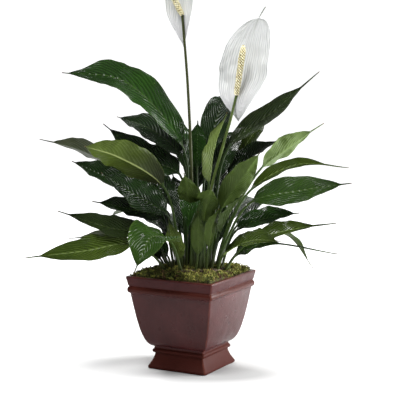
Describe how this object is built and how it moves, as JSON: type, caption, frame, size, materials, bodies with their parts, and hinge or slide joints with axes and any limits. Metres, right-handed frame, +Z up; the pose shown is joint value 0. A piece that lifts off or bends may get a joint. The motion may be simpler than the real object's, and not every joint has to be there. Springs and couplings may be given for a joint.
{
  "type": "potted peace lily",
  "caption": "Clump of glossy pointed leaves on long stalks with white hooded blooms and cream spikes, in a square footed pot topped with moss.",
  "frame": {"origin": "centre of the pot's flat underside, where it rests on the table", "axes": "+Z up; X and Y run square to the pot's four sides; the picture looks from the -Y side, turned towards +X"},
  "size_m": [0.5032, 0.4079, 0.6688],
  "materials": {
    "glazed_pot": "satin",
    "potting_soil": "matte",
    "moss_mat": "matte",
    "leaf_green": "satin",
    "stalk_green": "satin",
    "spathe_white": "satin",
    "spadix_cream": "matte"
  },
  "bodies": {
    "root": {"pot": "glazed_pot", "soil": "potting_soil", "moss": "moss_mat", "leaf_01": "leaf_green", "leaf_02": "leaf_green", "leaf_03": "leaf_green", "leaf_04": "leaf_green", "leaf_05": "leaf_green", "leaf_06": "leaf_green", "leaf_07": "leaf_green", "leaf_08": "leaf_green", "leaf_09": "leaf_green", "leaf_10": "leaf_green", "leaf_11": "leaf_green", "leaf_12": "leaf_green", "leaf_13": "leaf_green", "leaf_14": "leaf_green", "leaf_15": "leaf_green", "leaf_16": "leaf_green", "leaf_17": "leaf_green", "leaf_18": "leaf_green", "leaf_19": "leaf_green", "leaf_20": "leaf_green", "leaf_21": "leaf_green", "leaf_22": "leaf_green", "leaf_23": "leaf_green", "leaf_24": "leaf_green", "leaf_25": "leaf_green", "leaf_26": "leaf_green", "leaf_27": "leaf_green", "leaf_28": "leaf_green", "leaf_29": "leaf_green", "leaf_30": "leaf_green", "leaf_31": "leaf_green", "leaf_32": "leaf_green", "leaf_33": "leaf_green", "leaf_34": "leaf_green", "leaf_35": "leaf_green", "leaf_36": "leaf_green", "leaf_37": "leaf_green", "leaf_38": "leaf_green", "leaf_39": "leaf_green", "leaf_40": "leaf_green", "leaf_41": "leaf_green", "leaf_42": "leaf_green", "leaf_43": "leaf_green", "leaf_44": "leaf_green", "leaf_45": "leaf_green", "leaf_46": "leaf_green", "leaf_47": "leaf_green", "leaf_48": "leaf_green", "leaf_49": "leaf_green", "leaf_50": "leaf_green", "leaf_51": "leaf_green", "scape_tall": "stalk_green", "spathe_tall": "spathe_white", "spadix_tall": "spadix_cream", "scape_short": "stalk_green", "spathe_short": "spathe_white", "spadix_short": "spadix_cream"}
  },
  "joints": []
}
